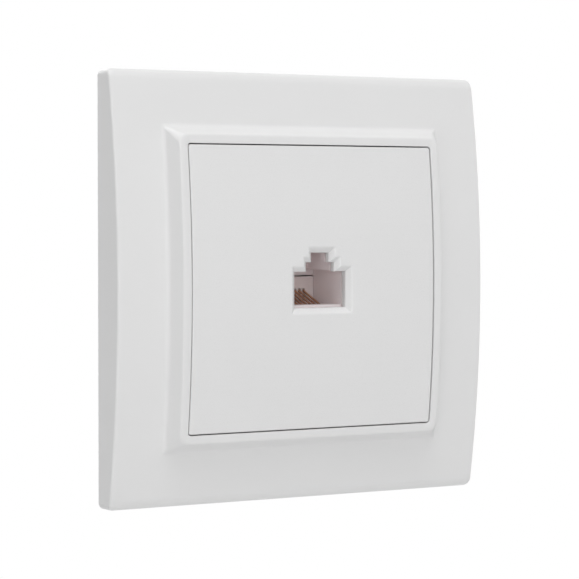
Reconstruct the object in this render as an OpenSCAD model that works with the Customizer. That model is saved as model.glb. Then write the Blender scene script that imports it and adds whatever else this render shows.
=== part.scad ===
// Flush-mounted ethernet wall socket with one port, in millimetres.
// The wall's surface is the plane y = 0. The socket faces -Y, +Z is up, and the
// origin is the middle of the cover frame. Every piece behind the wall has y above 0.

/* [Cover frame] */
// Width and height of the square cover frame
frame_w = 84; // [82:1:92]
// Depth of the frame at its top and bottom edges
edge_depth = 4.6; // [4.4:0.1:7]
// How far the face bulges out at mid-height
bulge = 3.75; // [3:0.25:5]
// Corner radius of the frame's outline
frame_corner_r = 2; // [1:0.5:4]
// Rounding of the frame's left and right front edges
frame_edge_r = 0.6; // [0.3:0.1:0.9]
// Rounding of the frame's upper and lower front edges
frame_brow_r = 1.5; // [0.6:0.1:1.9]
// Wall thickness of the frame's moulding
frame_wall = 2; // [1.6:0.1:2.2]
// Thickness of the ribs behind the face
rib_t = 1; // [0.8:0.1:1.4]

/* [Raised rim] */
// Width and height of the square opening in the frame
opening_w = 56; // [54:0.5:57]
// Corner radius of the opening
opening_corner_r = 1; // [0.8:0.1:2.5]
// Flat width of the rim round the opening
rim_flat = 1.65; // [1.2:0.05:2.2]
// Width of the rim's outer slope, seen from the front
rim_run = 1.55; // [1.2:0.05:2.4]
// Height of the rim above the face
rim_rise = 3.4; // [2.5:0.1:4]
// Radius of the hollow foot of the slope
rim_foot_r = 1.2; // [0.4:0.1:1.5]
// Rounding of the slope's outer edge
rim_edge_r = 0.5; // [0.3:0.1:0.8]

/* [Centre plate] */
// Gap between the centre plate and the opening
plate_gap = 0.3; // [0.2:0.05:0.6]
// How far the plate's face lies below the rim's
plate_drop = 0.1; // [0:0.05:0.3]
// Thickness of the plate
plate_t = 2; // [1.6:0.1:2.2]
// Thickness of the skirt round the plate
skirt_t = 1.4; // [1:0.1:1.8]
// Rounding of the plate's front edges
plate_edge_r = 0.3; // [0.2:0.05:0.4]

/* [Port] */
// Distance of the port from the middle of the plate
port_x = 1.35; // [0:0.05:2]
// Width of the port
port_w = 11.7; // [11.6:0.1:12.2]
// Height of the port below the latch steps
port_h = 7.1; // [7:0.1:7.4]
// Level of the port's lower edge
port_floor = -4; // [-4.4:0.1:-3.8]
// Width of the lower latch step
shoulder_w = 6.4; // [6.2:0.1:7]
// Height of the lower latch step
shoulder_h = 1.85; // [1.6:0.05:2]
// Width of the upper latch step
lever_w = 4; // [3.4:0.1:4.4]
// Height of the upper latch step
lever_h = 1.85; // [1.6:0.05:2]
// Width and depth of the bevel round the port
port_bevel = 1.05; // [0.6:0.05:1.4]

/* [Support plate] */
// Room between the steel support plate and the frame's walls
support_margin = 4.5; // [4:0.25:5]
// Thickness of its steel sheet
support_t = 1.2; // [1:0.1:1.5]
// Distance of the sheet's front face from the wall
support_rise = 3.2; // [3:0.1:3.4]
// Corner radius of the support plate
support_corner_r = 4; // [3:0.5:6]
// Room beside the carrier's box in the plate's opening
well_margin = 3.5; // [3.25:0.25:4]
// Distance between opposite box screws
box_pitch = 60; // [60:1:61]
// Diameter of the holes for the box screws
box_hole_d = 4.2; // [3.6:0.1:4.6]
// Length of the levelling slots above and below
level_slot_l = 10; // [8:1:14]
// Distance of the corner holes from the plate's edges
corner_inset = 5; // [4.5:0.5:6]

/* [Mechanism carrier] */
// Room between the carrier's flange and the plate's skirt
flange_gap = 1.3; // [1:0.1:2]
// Thickness of the flange
flange_t = 2; // [1.6:0.1:2.2]
// Width inside the carrier's box
box_in_w = 35.2; // [34.8:0.2:36]
// Wall thickness of the box
box_wall = 1.9; // [1.6:0.1:2]
// How far the box reaches behind the wall
box_depth = 26; // [26:0.5:32]
// Diameter of the screws that hold the carrier
screw_d = 2.9; // [2.5:0.1:3]

/* [Jack] */
// Width of the jack's housing
jack_w = 15.4; // [15:0.1:16]
// Depth of the plug's chamber
chamber_depth = 10.45; // [10:0.05:11]
// Gap between the centre plate and the jack's face
jack_gap = 0.45; // [0.3:0.05:0.6]
// Diameter of the contact wires
wire_d = 0.45; // [0.4:0.01:0.5]
// Distance from one contact to the next
contact_pitch = 1.02; // [1:0.01:1.04]
// Slope of the contacts in the plug's chamber, in degrees
contact_slope = 22.5; // [21:0.5:24]

/* [Circuit board and terminals] */
// Thickness of the circuit board
board_t = 1.6; // [1.2:0.1:1.6]
// Plastic past the outer terminals, at each end of their block
block_end = 2.6; // [2.4:0.1:2.8]
// Thickness of the terminals' sheet
blade_t = 0.4; // [0.3:0.05:0.5]
// Width of the terminals
blade_w = 2.9; // [2.6:0.1:3]

/* [Hidden] */
$fn = 48;
// Facets on the full circle of the face's arc, of which only a short stretch is used
arc_fn = 720;
// Overshoot of cutting shapes, and overlap of shapes that are fused into one piece
over = 1;
sink = 0.3;
blend_bite = 0.001;
// Running clearance between pieces that slide or snap together
fit_gap = 0.2;

// Face of the frame: an arc about a level axis far behind the wall
half_w = frame_w / 2;
face_r = (half_w * half_w + bulge * bulge) / (2 * bulge);
face_y = -(edge_depth + bulge);
axis_y = face_y + face_r;
axis_point = [axis_y, 0];
sweep = asin(half_w / face_r) + 3;
inner_w = frame_w - 2 * frame_wall;
support_w = inner_w - 2 * support_margin;
front_limit = face_y - rim_rise - over;

// Raised rim and the frame's skirt round the opening
half_open = opening_w / 2;
rim_edge = half_open + rim_flat;
rim_foot = rim_edge + rim_run;
rim_root = 1.5;
rim_backing = 0.25;
frame_skirt_t = rim_flat - rim_backing;
frame_skirt_gap = 1.2;
frame_skirt_y = -(support_rise + frame_skirt_gap);
screw_head_room = 4;
rib_gap = 0.6;
rib_offset = 12;

// Snap hooks of the frame, which catch behind the support plate
hook_z = 15;
hook_w = 5;
hook_t = 1.1;
hook_barb = 0.75;
hook_lead = 0.9;
hook_inset = 0.3;
frame_hook_x = half_open + hook_inset;

// Centre plate, seated in the opening with an even gap
plate_w = opening_w - 2 * plate_gap;
plate_corner_r = opening_corner_r - plate_gap;
plate_rise = rim_rise - plate_drop;
plate_face_y = face_y - plate_rise;
plate_back_y = plate_face_y + plate_t;
plate_skirt_gap = 3.2;
plate_skirt_y = -(support_rise + plate_skirt_gap);
collar_t = 1.2;
collar_l = 2.45;
inner_corner_r = 0.5;
plate_hook_z = 12;

// Port, measured upwards from its lower edge
port_top = port_floor + port_h + shoulder_h + lever_h;

// Support plate, with its rim folded back to the wall
support_face_y = -support_rise;
support_back_y = support_face_y + support_t;
fold_bevel = 0.8;
level_slot_r = 2.1;
corner_hole_d = 4.2;
corner_pitch = support_w - 2 * corner_inset;
well_corner_r = 2;
thread_play = 0.04;

// Carrier
flange_w = plate_w - 2 * (skirt_t + flange_gap);
flange_y = support_face_y - flange_t;
flange_corner_r = 2;
box_out_w = box_in_w + 2 * box_wall;
tower_t = 1.4;
tower_y = plate_back_y + collar_l + fit_gap;
screw_x = 15;
screw_inset = 4;
screw_z = flange_w / 2 - screw_inset;
screw_play = 0.4;
screw_head_d = 5.2;
screw_head_h = 1.7;
screw_head_taper = 1;
screw_l = 6.2;
recess_w = 0.8;
recess_l = 3;
recess_depth = 0.9;
slit_w = 0.8;
slit_l = 8;

// Opening of the support plate, and the plate's hooks, which pass beside the box
well_w = box_out_w + 2 * well_margin;
well_bridge = 3;
well_h = 2 * (screw_z - well_bridge);
plate_hook_x = well_w / 2 - fit_gap - hook_barb - hook_t;
hook_room = hook_barb + fit_gap;

// Jack
jack_face_y = plate_back_y + jack_gap;
chamber_back_y = jack_face_y + chamber_depth;
port_lip = 0.5;
chamber_floor = port_floor + port_lip;
chamber_h = 6.85;
chamber_top = chamber_floor + chamber_h;
jack_base_t = 2.5;
jack_bottom = chamber_floor - jack_base_t;
jack_roof_t = 1.8;
jack_top = port_top + jack_roof_t;
comb_l = 4.9;
jack_back_y = chamber_back_y + comb_l;
jack_front_wall = 1.6;
latch_pocket_l = 8.6;
peg_d = 3;
peg_x = 6;
peg_y = chamber_back_y + 0.9;
peg_play = 0.2;
peg_below = 0.6;

// Insert that carries the contacts
insert_slab_w = 8.6;
insert_gap = 0.1;
insert_front_y = jack_face_y + 2;
comb_top = 1.8;
comb_joint = 0.3;
comb_slot_w = 0.6;
comb_slot_l = 1.6;

// Contact wires
contact_count = 8;
run_z = jack_bottom + 1;
bend_r = 0.5;
bend_lap = 0.05;
wire_step = 0.01;
wire_fn = 16;
wire_gap = 0.1;
contact_exit_y = jack_face_y + 4.7;
bend_z = run_z + bend_r;
bend_y = contact_exit_y + bend_r * sin(contact_slope)
  - (chamber_floor - bend_z - bend_r * cos(contact_slope)) / tan(contact_slope);
contact_reach = chamber_back_y + 0.4;
contact_tip_z = chamber_floor + (contact_reach - contact_exit_y) * tan(contact_slope);
comb_slot_top = contact_tip_z + wire_d / 2 / cos(contact_slope) + wire_gap;
tail_row_gap = 2.54;
tail_first_y = jack_back_y - 3.4;
tail_below = 1;

// Circuit board, held in grooves of the carrier's side walls
board_top = jack_bottom;
board_bottom = board_top - board_t;
groove_depth = 0.6;
board_w = box_in_w + 2 * groove_depth;
board_front_y = support_face_y + 0.4;
board_back_y = box_depth - 1.2;
groove_gap = 0.1;
box_room = 2.1;
box_bottom = board_bottom - box_room - box_wall;
box_top = jack_top + box_room + box_wall;
roof_back_y = jack_back_y + 1;
board_hole_play = 0.2;

// Cap over the terminals, whose arms reach down between the block and the box
cap_gap = 0.2;
cap_t = 1.6;
cap_arm_t = 0.7;
cap_side_gap = 0.1;
cap_notch = 0.5;
cap_notch_top = 3.4;
cap_notch_h = 1.6;
cap_catch_h = 0.8;
cap_arm_inset = 2;
finger_l = 3;
finger_gap = 0.3;
finger_inset = 0.8;

// Terminal block and its blades
block_w = box_in_w - 2 * (fit_gap + cap_arm_t + cap_side_gap);
terminal_pitch = (block_w - 2 * block_end) / (contact_count - 1);
block_gap = 4;
block_front_y = jack_back_y + block_gap;
block_l = 12;
block_back_y = block_front_y + block_l;
block_h = 9.6;
block_top = board_top + block_h;
channel_w = 1.3;
channel_lead = 0.8;
channel_floor = board_top + 5;
core_z = channel_floor + 1.2;
notch_z = block_top - cap_notch_top - cap_notch_h;
blade_y = block_front_y + block_l / 2;
blade_foot = 0.4;
blade_top = block_top - 1;
blade_shoulder = 0.5;
blade_tip = 0.9;
fork_w = 0.3;
fork_throat = 1.4;
fork_floor = channel_floor - 0.4;
pin_w = 0.8;
slot_play = 0.2;
pin_hole_d = 1.1;
block_peg_d = 2;
block_peg_play = 0.1;
block_peg_x = 3 * terminal_pitch;
block_peg_inset = 2.5;
block_peg_y = block_back_y - block_peg_inset;

function arc_y(rise, z) = axis_y - sqrt(pow(face_r + rise, 2) - z * z);
function contact_x(i) = port_x + (i - (contact_count + 1) / 2) * contact_pitch;
function tail_y(i) = tail_first_y + (i % 2 == 0 ? tail_row_gap : 0);
function terminal_x(i) = (i - (contact_count + 1) / 2) * terminal_pitch;
function unit(v) = v / norm(v);

// Centre of a circle of radius r that touches a line through p with direction d, on the
// side n, and lies at the distance big from the face's axis
function blend_centre(p, d, n, r, big) =
  let (
    q = p + r * n - axis_point,
    b = q * d,
    s = sqrt(b * b - q * q + big * big),
    t = abs(s - b) < abs(s + b) ? s - b : -s - b
  )
  p + r * n + t * d;

// A point on the circle about the face's axis with the radius big, in line with p
function on_arc(p, big) = axis_point + unit(p - axis_point) * big;

module box_between(low, high) {
  translate(low) cube(high - low);
}

// Extrudes a drawing of (y, z) along X, evenly to both sides
module along_x(length) {
  rotate([90, 0, 90]) linear_extrude(length, center = true) children();
}

// Extrudes a drawing of (x, z) from y0 back to y1
module along_y(y0, y1) {
  translate([0, y1, 0]) rotate([90, 0, 0]) linear_extrude(y1 - y0) children();
}

// Sweeps a drawing of (distance from the face's axis, x) along the face's arc
module along_arc() {
  translate([0, axis_y, 0]) rotate([0, 90, 0])
    rotate_extrude(angle = 2 * sweep, start = 270 - sweep, $fn = arc_fn) children();
}

// All that lies behind the arc at a height above the frame's face
module behind_arc(rise, length) {
  translate([0, axis_y, 0]) rotate([0, 90, 0])
    cylinder(r = face_r + rise, h = length, center = true, $fn = arc_fn);
}

module round_rect(w, h, r) {
  square([w - 2 * r, h], center = true);
  square([w, h - 2 * r], center = true);
  for (sx = [-1, 1], sz = [-1, 1])
    translate([sx * (w / 2 - r), sz * (h / 2 - r)]) circle(r);
}

// What lies between a corner and the circle that rounds it: added in a hollow, cut from an edge.
// The circle is a hair larger than one that just touches, so it meets both faces at a clear angle.
module corner_piece(corner, t1, centre, t2, r) {
  difference() {
    polygon([corner, t1, centre, t2]);
    translate(centre) circle(r + blend_bite);
  }
}

// Section through a bulging slab, (y, z), its two ends rounded
module slab_section(half, rise, r) {
  big = face_r + rise;
  centre = [axis_y - sqrt(pow(big - r, 2) - pow(half - r, 2)), half - r];
  corner = [arc_y(rise, half) - sink, half + sink];
  difference() {
    intersection() {
      translate(axis_point) circle(big, $fn = arc_fn);
      translate([front_limit, -half]) square([-front_limit + over, 2 * half]);
    }
    for (s = [0, 1]) mirror([0, s])
      corner_piece(corner, [centre[0], half], centre, on_arc(centre, big), r);
  }
}

// The same slab seen from above, (distance from the axis, x), for the sweep along the arc
module slab_plan(half, rise, r) {
  big = face_r + rise;
  inner = axis_y - over;
  difference() {
    translate([inner, -half]) square([big - inner, 2 * half]);
    for (s = [0, 1]) mirror([0, s])
      corner_piece([big + sink, half + sink], [big, half - r], [big - r, half - r],
        [big - r, half], r);
  }
}

// A square slab whose face follows the arc. Its front edges are rounded by edge_r at the
// left and right, and by brow_r above and below.
module bulging_slab(w, corner_r, rise, edge_r, brow_r, back_y) {
  intersection() {
    along_y(front_limit, back_y) round_rect(w, w, corner_r);
    along_x(w + 2 * over) slab_section(w / 2, rise, brow_r);
    along_arc() slab_plan(w / 2, rise, edge_r);
  }
}

// Section through the rim's upper and lower runs, (y, z)
module rim_section() {
  foot = [arc_y(0, rim_foot), rim_foot];
  edge = [arc_y(rim_rise, rim_edge), rim_edge];
  d = unit(edge - foot);
  n = [d[1], -d[0]];
  low = foot - rim_root * d;
  high = edge + (edge[0] - front_limit) * d;
  hollow = blend_centre(foot, d, n, rim_foot_r, face_r + rim_foot_r);
  round_c = blend_centre(edge, d, -n, rim_edge_r, face_r + rim_rise - rim_edge_r);
  difference() {
    union() {
      intersection() {
        translate(axis_point) circle(face_r + rim_rise, $fn = arc_fn);
        polygon([low, high, [high[0], -high[1]], [low[0], -low[1]]]);
      }
      for (s = [0, 1]) mirror([0, s])
        corner_piece(foot + [sink, -sink], on_arc(hollow, face_r), hollow,
          hollow - rim_foot_r * n, rim_foot_r);
    }
    for (s = [0, 1]) mirror([0, s])
      corner_piece(edge + sink * n, round_c + rim_edge_r * n, round_c,
        on_arc(round_c, face_r + rim_rise), rim_edge_r);
  }
}

// Plan of the rim's left and right runs, (distance from the axis, x)
module rim_plan() {
  foot = [face_r, rim_foot];
  edge = [face_r + rim_rise, rim_edge];
  d = unit(edge - foot);
  half_turn = atan2(rim_rise, rim_run) / 2;
  foot_t = rim_foot_r * tan(half_turn);
  edge_t = rim_edge_r * tan(half_turn);
  low = foot - rim_root * d;
  difference() {
    union() {
      polygon([low, edge, [edge[0], -edge[1]], [low[0], -low[1]]]);
      for (s = [0, 1]) mirror([0, s])
        corner_piece(foot - [sink, sink], foot + [0, foot_t], foot + [rim_foot_r, foot_t],
          foot + foot_t * d, rim_foot_r);
    }
    for (s = [0, 1]) mirror([0, s])
      corner_piece(edge + [sink, sink], edge - [0, edge_t], edge - [rim_edge_r, edge_t],
        edge - edge_t * d, rim_edge_r);
  }
}

module rim() {
  intersection() {
    along_x(2 * (rim_foot + rim_foot_r)) rim_section();
    along_arc() rim_plan();
  }
}

// A snap hook on the +X side: a leg from y0 to its tip, with a barb that catches at catch_y
module snap_hook(x, z, y0, catch_y) {
  tip = catch_y + hook_lead;
  translate([x, 0, z - hook_w / 2]) linear_extrude(hook_w)
    polygon([[0, y0], [hook_t, y0], [hook_t, catch_y], [hook_t + hook_barb, catch_y],
      [hook_t, tip], [0, tip]]);
}

module four_ways(z) {
  for (sx = [0, 1], sz = [-1, 1]) mirror([sx, 0, 0]) translate([0, 0, sz * z]) children();
}

module frame_ribs() {
  inner = half_open + frame_skirt_t - sink;
  outer = inner_w / 2 + sink;
  past_support = support_w / 2 + rib_gap;
  intersection() {
    for (turn = [0:90:270], off = [-rib_offset, rib_offset]) rotate([0, turn, 0]) {
      box_between([inner, front_limit, off - rib_t / 2],
        [outer, support_face_y - rib_gap, off + rib_t / 2]);
      box_between([past_support, front_limit, off - rib_t / 2], [outer, -over, off + rib_t / 2]);
    }
    behind_arc(sink - frame_wall, frame_w);
  }
}

// The frame's skirt round the opening, cut away over the heads of the box screws
module frame_skirt() {
  outer_w = opening_w + 2 * frame_skirt_t;
  difference() {
    along_y(face_y - sink, frame_skirt_y) difference() {
      round_rect(outer_w, outer_w, opening_corner_r + frame_skirt_t);
      round_rect(opening_w, opening_w, opening_corner_r);
    }
    for (s = [-1, 1]) translate([s * box_pitch / 2, face_y + frame_wall + over / 2, 0])
      rotate([-90, 0, 0]) cylinder(d = box_hole_d + screw_head_room, h = -frame_skirt_y * 2);
  }
}

module cover_frame() {
  color("white") {
    difference() {
      union() {
        bulging_slab(frame_w, frame_corner_r, 0, frame_edge_r, frame_brow_r, 0);
        rim();
      }
      intersection() {
        along_y(front_limit, over) round_rect(inner_w, inner_w, frame_corner_r / 2);
        behind_arc(-frame_wall, frame_w);
      }
      along_y(front_limit, over) round_rect(opening_w, opening_w, opening_corner_r);
    }
    frame_skirt();
    frame_ribs();
    four_ways(hook_z)
      snap_hook(frame_hook_x, 0, frame_skirt_y - sink, support_back_y + fit_gap);
  }
}

// One stretch of the port's outline: a rectangle that widens forwards past the inner edge
module port_step(w, z0, z1) {
  inner_y = plate_face_y + port_bevel;
  flare = port_bevel + over;
  box_between([port_x - w / 2, inner_y - sink, z0], [port_x + w / 2, 0, z1]);
  intersection() {
    translate([port_x, 0, (z0 + z1) / 2]) linear_extrude(z1 - z0 + 2 * flare, center = true)
      polygon([[-w / 2, inner_y], [w / 2, inner_y], [w / 2 + flare, inner_y - flare],
        [-w / 2 - flare, inner_y - flare]]);
    translate([port_x, 0, 0]) along_x(w + 2 * flare)
      polygon([[inner_y, z0], [inner_y, z1], [inner_y - flare, z1 + flare],
        [inner_y - flare, z0 - flare]]);
  }
}

module port_cut() {
  port_step(port_w, port_floor, port_floor + port_h);
  port_step(shoulder_w, port_floor, port_floor + port_h + shoulder_h);
  port_step(lever_w, port_floor, port_top);
}

// Outline of the jack's front, grown by a margin, (x, z)
module jack_outline(margin) {
  translate([port_x - jack_w / 2 - margin, jack_bottom - margin])
    square([jack_w + 2 * margin, jack_top - jack_bottom + 2 * margin]);
}

module jack_sleeve(y0, y1, wall) {
  along_y(y0, y1) difference() {
    jack_outline(fit_gap + wall);
    jack_outline(fit_gap);
  }
}

module centre_plate() {
  inner = plate_w - 2 * skirt_t;
  inner_r = max(plate_corner_r - skirt_t, inner_corner_r);
  color("white") {
    difference() {
      bulging_slab(plate_w, plate_corner_r, plate_rise, plate_edge_r, plate_edge_r, plate_skirt_y);
      intersection() {
        along_y(front_limit, over) round_rect(inner, inner, inner_r);
        behind_arc(plate_rise - plate_t, plate_w);
      }
      port_cut();
    }
    jack_sleeve(plate_back_y - sink, plate_back_y + collar_l, collar_t);
    four_ways(plate_hook_z)
      snap_hook(plate_hook_x, 0, arc_y(plate_rise - plate_t, plate_hook_z) - sink,
        support_face_y + fit_gap);
  }
}

// A hole through the steel sheet at (x, z)
module sheet_hole(x, z, d) {
  translate([x, support_face_y - over, z]) rotate([-90, 0, 0])
    cylinder(d = d, h = support_t + 2 * over);
}

module sheet_window(x0, x1, z0, z1) {
  box_between([x0, support_face_y - over, z0], [x1, support_back_y + over, z1]);
}

// The folded sheet without its holes: a tray with a bevelled bend, open to the wall
module support_tray() {
  half = support_w / 2;
  bevel = [[support_face_y, half - fold_bevel], [support_face_y + fold_bevel, half], [over, half],
    [over, -half], [support_face_y + fold_bevel, -half], [support_face_y, fold_bevel - half]];
  inner = support_w - 2 * support_t;
  difference() {
    intersection() {
      along_y(support_face_y, 0) round_rect(support_w, support_w, support_corner_r);
      along_x(support_w) polygon(bevel);
      linear_extrude(support_w, center = true) polygon([for (p = bevel) [p[1], p[0]]]);
    }
    along_y(support_back_y, over) round_rect(inner, inner, support_corner_r - support_t);
  }
}

module support_plate() {
  slot_run = level_slot_l / 2 - level_slot_r;
  color("silver") difference() {
    support_tray();
    along_y(support_face_y - over, support_back_y + over) round_rect(well_w, well_h, well_corner_r);
    for (s = [-1, 1]) {
      sheet_hole(s * box_pitch / 2, 0, box_hole_d);
      sheet_hole(s * screw_x, -s * screw_z, screw_d + thread_play);
      for (end = [-1, 1]) sheet_hole(end * slot_run, s * box_pitch / 2, 2 * level_slot_r);
      sheet_window(-slot_run, slot_run, s * box_pitch / 2 - level_slot_r,
        s * box_pitch / 2 + level_slot_r);
    }
    for (sx = [-1, 1], sz = [-1, 1])
      sheet_hole(sx * corner_pitch / 2, sz * corner_pitch / 2, corner_hole_d);
    four_ways(hook_z) sheet_window(frame_hook_x - hook_room, frame_hook_x + hook_t + fit_gap,
      -hook_w / 2 - fit_gap, hook_w / 2 + fit_gap);
  }
}

// The carrier's box, open at the back, and at the top behind the jack
module carrier_box() {
  difference() {
    box_between([-box_out_w / 2, support_face_y, box_bottom], [box_out_w / 2, box_depth, box_top]);
    box_between([-box_in_w / 2, support_face_y - over, box_bottom + box_wall],
      [box_in_w / 2, box_depth + over, box_top - box_wall]);
    box_between([-box_in_w / 2, roof_back_y, 0], [box_in_w / 2, box_depth + over, box_top + over]);
    box_between([-board_w / 2 - groove_gap, board_front_y - groove_gap, board_bottom - groove_gap],
      [board_w / 2 + groove_gap, board_back_y + groove_gap, board_top + groove_gap]);
    catch_slits();
  }
}

// Slits that free the ends of the side walls, so that they spring over the board
module catch_slits() {
  for (z = [board_bottom - slit_w - over, board_top + over])
    box_between([-box_out_w / 2 - over, box_depth - slit_l, z],
      [box_out_w / 2 + over, box_depth + over, z + slit_w]);
}

// Tongue that a cable tie holds the cable to, notched on both sides
module tie_tongue() {
  tongue_w = 12;
  tongue_l = 6;
  notch = 2;
  difference() {
    box_between([-tongue_w / 2, box_depth - sink, box_bottom],
      [tongue_w / 2, box_depth + tongue_l, box_bottom + box_wall]);
    for (s = [0, 1]) mirror([s, 0, 0])
      box_between([tongue_w / 2 - notch, box_depth + notch, box_bottom - over],
        [tongue_w / 2 + over, box_depth + tongue_l - notch, box_bottom + box_wall + over]);
  }
}

module carrier_flange() {
  difference() {
    along_y(flange_y, support_face_y) difference() {
      round_rect(flange_w, flange_w, flange_corner_r);
      jack_outline(fit_gap);
    }
    four_ways(plate_hook_z)
      box_between([plate_hook_x - hook_room, flange_y - over, -hook_w / 2 - fit_gap],
        [plate_hook_x + hook_t + fit_gap, support_face_y + over, hook_w / 2 + fit_gap]);
    for (s = [-1, 1]) translate([s * screw_x, flange_y - over, -s * screw_z])
      rotate([-90, 0, 0]) cylinder(d = screw_d + screw_play, h = flange_t + 2 * over);
  }
}

module module_carrier() {
  color("gainsboro") {
    carrier_flange();
    carrier_box();
    jack_sleeve(tower_y, flange_y + sink, tower_t);
    tie_tongue();
  }
}

// One pan-head screw with a cross recess, its head towards the front
module carrier_screw() {
  difference() {
    union() {
      translate([0, flange_y - screw_head_h, 0]) rotate([-90, 0, 0])
        cylinder(d1 = screw_head_d - screw_head_taper, d2 = screw_head_d, h = screw_head_h);
      translate([0, flange_y - sink, 0]) rotate([-90, 0, 0])
        cylinder(d = screw_d, h = screw_l + sink);
    }
    for (turn = [0, 90]) rotate([0, turn, 0])
      box_between([-recess_l / 2, flange_y - screw_head_h - over, -recess_w / 2],
        [recess_l / 2, flange_y - screw_head_h + recess_depth, recess_w / 2]);
  }
}

module carrier_screws() {
  color("silver") for (s = [-1, 1]) translate([s * screw_x, 0, -s * screw_z]) carrier_screw();
}

// Chamber for the plug, with its latch pocket behind the stepped front wall
module plug_chamber() {
  half = port_w / 2;
  shoulder_top = port_floor + port_h + shoulder_h;
  pocket_y = jack_face_y + jack_front_wall;
  translate([port_x, 0, 0]) {
    box_between([-half, jack_face_y - over, chamber_floor], [half, chamber_back_y, chamber_top]);
    box_between([-shoulder_w / 2, jack_face_y - over, 0], [shoulder_w / 2, pocket_y, shoulder_top]);
    box_between([-lever_w / 2, jack_face_y - over, 0], [lever_w / 2, pocket_y + over, port_top]);
    box_between([-shoulder_w / 2, pocket_y, 0], [shoulder_w / 2, jack_face_y + latch_pocket_l, port_top]);
  }
}

module jack_housing() {
  half = port_w / 2;
  slab_half = (insert_slab_w + insert_gap) / 2;
  color("mistyrose") {
    difference() {
      along_y(jack_face_y, jack_back_y) jack_outline(0);
      plug_chamber();
      translate([port_x, 0, 0]) {
        box_between([-half, chamber_back_y - over, chamber_floor],
          [half, jack_back_y + over, comb_top + comb_joint]);
        box_between([-slab_half, insert_front_y - insert_gap, jack_bottom - over],
          [slab_half, jack_back_y + over, chamber_floor + over]);
      }
    }
    for (s = [-1, 1]) translate([port_x + s * peg_x, peg_y, board_bottom - peg_below])
      cylinder(d = peg_d, h = board_t + peg_below + sink);
  }
}

// Insert under and behind the chamber: a slab with a groove for each wire, and the comb
module contact_carrier() {
  half = (port_w - insert_gap) / 2;
  color("mistyrose") difference() {
    translate([port_x, 0, 0]) {
      box_between([-insert_slab_w / 2, insert_front_y, jack_bottom],
        [insert_slab_w / 2, jack_back_y, chamber_floor]);
      box_between([-half, chamber_back_y, chamber_floor], [half, jack_back_y, comb_top]);
    }
    for (i = [1:contact_count]) translate([contact_x(i), 0, 0]) wire_groove(i);
  }
}

module wire_groove(i) {
  half = comb_slot_w / 2;
  front = bend_y - bend_r - wire_d / 2 - wire_gap;
  box_between([-half, front, jack_bottom - over],
    [half, tail_y(i) + half, run_z + wire_d / 2 + wire_gap]);
  box_between([-half, front, jack_bottom - over], [half, contact_exit_y + over, chamber_floor + over]);
  box_between([-half, chamber_back_y - over, chamber_floor - sink],
    [half, chamber_back_y + comb_slot_l, comb_slot_top]);
}

// A bend of the wire about the level axis through (y, z), from one angle through a turn
module wire_bend(y, z, from, turn) {
  translate([0, y, z]) rotate([90, 0, 90])
    rotate_extrude(angle = turn, start = from) translate([bend_r, 0]) circle(d = wire_d, $fn = wire_fn);
}

// A straight stretch of wire from the origin along +Z. It is a hair thinner than the bends
// and runs a little way into them, so that the pieces fuse into one wire.
module wire_straight(length) {
  translate([0, 0, -bend_lap]) cylinder(d = wire_d - wire_step, h = length + 2 * bend_lap, $fn = wire_fn);
}

// A contact: up through the board, forwards under the chamber, round and up towards the comb
module contact(i) {
  run_start = tail_y(i) - bend_r;
  tail_bottom = board_bottom - tail_below;
  spring_y = bend_y - bend_r * sin(contact_slope);
  spring_z = bend_z + bend_r * cos(contact_slope);
  spring_l = (contact_reach - spring_y) / cos(contact_slope);
  color("goldenrod") translate([contact_x(i), 0, 0]) {
    translate([0, tail_y(i), tail_bottom]) wire_straight(run_z - bend_r - tail_bottom);
    wire_bend(run_start, run_z - bend_r, 0, 90);
    translate([0, bend_y, run_z]) rotate([-90, 0, 0]) wire_straight(run_start - bend_y);
    wire_bend(bend_y, bend_z, 90 + contact_slope, 180 - contact_slope);
    translate([0, spring_y, spring_z]) rotate([contact_slope - 90, 0, 0]) wire_straight(spring_l);
  }
}

module board_hole(x, y, d) {
  translate([x, y, board_bottom - over]) cylinder(d = d, h = board_t + 2 * over, $fn = 24);
}

module circuit_board() {
  color("darkgreen") difference() {
    box_between([-board_w / 2, board_front_y, board_bottom], [board_w / 2, board_back_y, board_top]);
    for (i = [1:contact_count]) {
      board_hole(contact_x(i), tail_y(i), wire_d + board_hole_play);
      board_hole(terminal_x(i), blade_y, pin_hole_d);
    }
    for (s = [-1, 1]) {
      board_hole(port_x + s * peg_x, peg_y, peg_d + peg_play);
      board_hole(s * block_peg_x, block_peg_y, block_peg_d + block_peg_play);
    }
  }
}

// Block of eight channels, each crossed by the slot that holds its forked blade
module terminal_block() {
  slot_w = blade_w + slot_play;
  slot_t = blade_t + slot_play;
  pin_slot_w = pin_w + slot_play;
  color("white") {
    difference() {
      box_between([-block_w / 2, block_front_y, board_top], [block_w / 2, block_back_y, block_top]);
      for (i = [1:contact_count]) translate([terminal_x(i), 0, 0]) {
        box_between([-channel_w / 2, block_front_y - over, channel_floor],
          [channel_w / 2, block_back_y + over, block_top + over]);
        translate([0, (block_front_y + block_back_y) / 2, block_top]) rotate([0, 45, 0])
          cube([channel_w + channel_lead, block_l + 2 * over, channel_w + channel_lead], center = true);
        box_between([-slot_w / 2, blade_y - slot_t / 2, board_top + blade_foot],
          [slot_w / 2, blade_y + slot_t / 2, block_top + over]);
        box_between([-pin_slot_w / 2, blade_y - slot_t / 2, board_top - over],
          [pin_slot_w / 2, blade_y + slot_t / 2, board_top + blade_foot + over]);
      }
      for (s = [0, 1]) mirror([s, 0, 0])
        box_between([block_w / 2 - cap_notch, block_front_y - over, notch_z],
          [block_w / 2 + over, block_back_y + over, notch_z + cap_notch_h]);
    }
    for (s = [-1, 1]) translate([s * block_peg_x, block_peg_y, board_bottom + sink])
      cylinder(d = block_peg_d, h = board_t, $fn = 24);
  }
}

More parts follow.
